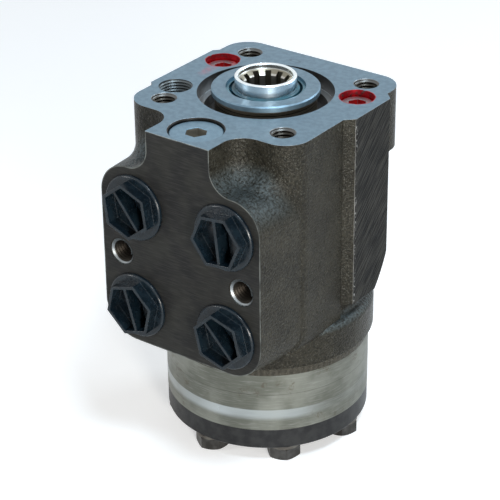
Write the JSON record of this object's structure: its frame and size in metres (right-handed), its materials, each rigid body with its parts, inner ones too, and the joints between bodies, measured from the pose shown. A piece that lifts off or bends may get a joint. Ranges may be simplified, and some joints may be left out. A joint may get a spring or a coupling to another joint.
{
  "type": "hydraulic steering unit",
  "caption": "Orbital hydraulic steering unit: cast housing with plugged side ports, splined input hub in a spigot on the mounting face, and a gerotor gear set with end cover below.",
  "frame": {"origin": "centre of the column mounting face, on the input shaft's axis", "axes": "+Z leaves the unit along the input shaft; the port face looks along -Y; +X is to the right seen from the ports"},
  "size_m": [0.0908, 0.1104, 0.1584],
  "materials": {
    "cast_housing": "rough",
    "hub_steel": "polished",
    "ground_steel": "satin",
    "spring_steel": "satin",
    "seal_metal": "satin",
    "seal_rubber": "matte",
    "ring_steel": "satin",
    "black_cover": "satin",
    "machined_plug": "satin",
    "red_plug": "gloss",
    "screw_steel": "satin",
    "washer_metal": "satin",
    "plug_plastic": "gloss"
  },
  "bodies": {
    "housing": {"housing": "cast_housing", "distributor_plate": "ring_steel", "gear_ring": "ring_steel", "end_cover": "black_cover", "pin_screw": "screw_steel", "cover_screw_1": "screw_steel", "cover_screw_2": "screw_steel", "cover_screw_3": "screw_steel", "cover_screw_4": "screw_steel", "cover_screw_5": "screw_steel", "cover_screw_6": "screw_steel", "screw_washer_1": "washer_metal", "screw_washer_2": "washer_metal", "screw_washer_3": "washer_metal", "screw_washer_4": "washer_metal", "screw_washer_5": "washer_metal", "screw_washer_6": "washer_metal", "screw_washer_7": "washer_metal", "o_ring_housing": "seal_rubber", "o_ring_plate": "seal_rubber", "o_ring_cover": "seal_rubber", "shaft_seal": "seal_metal", "dust_seal": "seal_rubber", "bearing_upper_race": "ground_steel", "relief_plug": "machined_plug", "relief_spring": "spring_steel", "relief_seat": "ground_steel", "shock_plug_right": "red_plug", "shock_plug_left": "red_plug", "shock_spring_right": "spring_steel", "shock_spring_left": "spring_steel"},
    "sleeve": {"sleeve": "ground_steel", "cross_pin": "ground_steel", "spring_ring": "spring_steel", "centring_springs": "spring_steel", "bearing_lower_race": "ground_steel"},
    "spool": {"spool": "hub_steel"},
    "bearing_cage": {"bearing_cage": "ground_steel"},
    "rotor_orbit": {"rotor_spacer": "ground_steel"},
    "rotor": {"gear_rotor": "ground_steel"},
    "cardan": {"cardan_shaft": "ground_steel"},
    "relief_poppet": {"relief_poppet": "ground_steel"},
    "shock_ball_right": {"shock_ball_right": "ground_steel"},
    "shock_ball_left": {"shock_ball_left": "ground_steel"},
    "check_ball": {"check_ball": "ground_steel"},
    "port_plug_upper_right": {"port_plug_upper_right": "plug_plastic"},
    "port_plug_upper_left": {"port_plug_upper_left": "plug_plastic"},
    "port_plug_lower_left": {"port_plug_lower_left": "plug_plastic"},
    "port_plug_lower_right": {"port_plug_lower_right": "plug_plastic"}
  },
  "joints": [
    {"name": "sleeve_spin", "type": "hinge", "parent": "housing", "child": "sleeve", "pos_m": [0, 0, -0.05], "axis": [0, 0, 1], "continuous": true},
    {"name": "spool_twist", "type": "hinge", "parent": "sleeve", "child": "spool", "pos_m": [0, 0, -0.05], "axis": [0, 0, 1], "range_deg": [-8, 8], "stiffness_Nm_per_rad": 12, "deforming": ["centring_springs"]},
    {"name": "bearing_cage_spin", "type": "hinge", "parent": "housing", "child": "bearing_cage", "pos_m": [0, 0, -0.01], "axis": [0, 0, 1], "continuous": true},
    {"name": "orbit_spin", "type": "hinge", "parent": "housing", "child": "rotor_orbit", "pos_m": [0, 0, -0.13], "axis": [0, 0, 1], "continuous": true},
    {"name": "rotor_spin", "type": "hinge", "parent": "rotor_orbit", "child": "rotor", "pos_m": [0.00312, 0.00044, -0.126], "axis": [0, 0, 1], "continuous": true},
    {"name": "cardan_spin", "type": "hinge", "parent": "rotor_orbit", "child": "cardan", "pos_m": [0, 0, -0.035], "axis": [-0.0341, -0.0048, 0.9994], "continuous": true},
    {"name": "relief_lift", "type": "slide", "parent": "housing", "child": "relief_poppet", "axis": [0, 0, 1], "range_m": [0, 0.0015], "stiffness_N_per_m": 1500, "springref_m": -0.002, "deforming": ["relief_spring"]},
    {"name": "shock_lift_right", "type": "slide", "parent": "housing", "child": "shock_ball_right", "axis": [0, 0, 1], "range_m": [0, 0.0012], "stiffness_N_per_m": 800, "springref_m": -0.0015, "deforming": ["shock_spring_right"]},
    {"name": "shock_lift_left", "type": "slide", "parent": "housing", "child": "shock_ball_left", "axis": [0, 0, 1], "range_m": [0, 0.0012], "stiffness_N_per_m": 800, "springref_m": -0.0015, "deforming": ["shock_spring_left"]},
    {"name": "check_lift", "type": "slide", "parent": "housing", "child": "check_ball", "axis": [0, 0, 1], "range_m": [0, 0.0014]},
    {"name": "plug_out_upper_right", "type": "slide", "parent": "housing", "child": "port_plug_upper_right", "axis": [0, -1, 0], "range_m": [0, 0.016]},
    {"name": "plug_out_upper_left", "type": "slide", "parent": "housing", "child": "port_plug_upper_left", "axis": [0, -1, 0], "range_m": [0, 0.016]},
    {"name": "plug_out_lower_left", "type": "slide", "parent": "housing", "child": "port_plug_lower_left", "axis": [0, -1, 0], "range_m": [0, 0.016]},
    {"name": "plug_out_lower_right", "type": "slide", "parent": "housing", "child": "port_plug_lower_right", "axis": [0, -1, 0], "range_m": [0, 0.016]}
  ],
  "couplings": [
    {"joint": "bearing_cage_spin", "follows": "sleeve_spin", "ratio": 0.5},
    {"joint": "orbit_spin", "follows": "sleeve_spin", "ratio": -6},
    {"joint": "rotor_spin", "follows": "sleeve_spin", "ratio": 7},
    {"joint": "cardan_spin", "follows": "sleeve_spin", "ratio": 7}
  ]
}
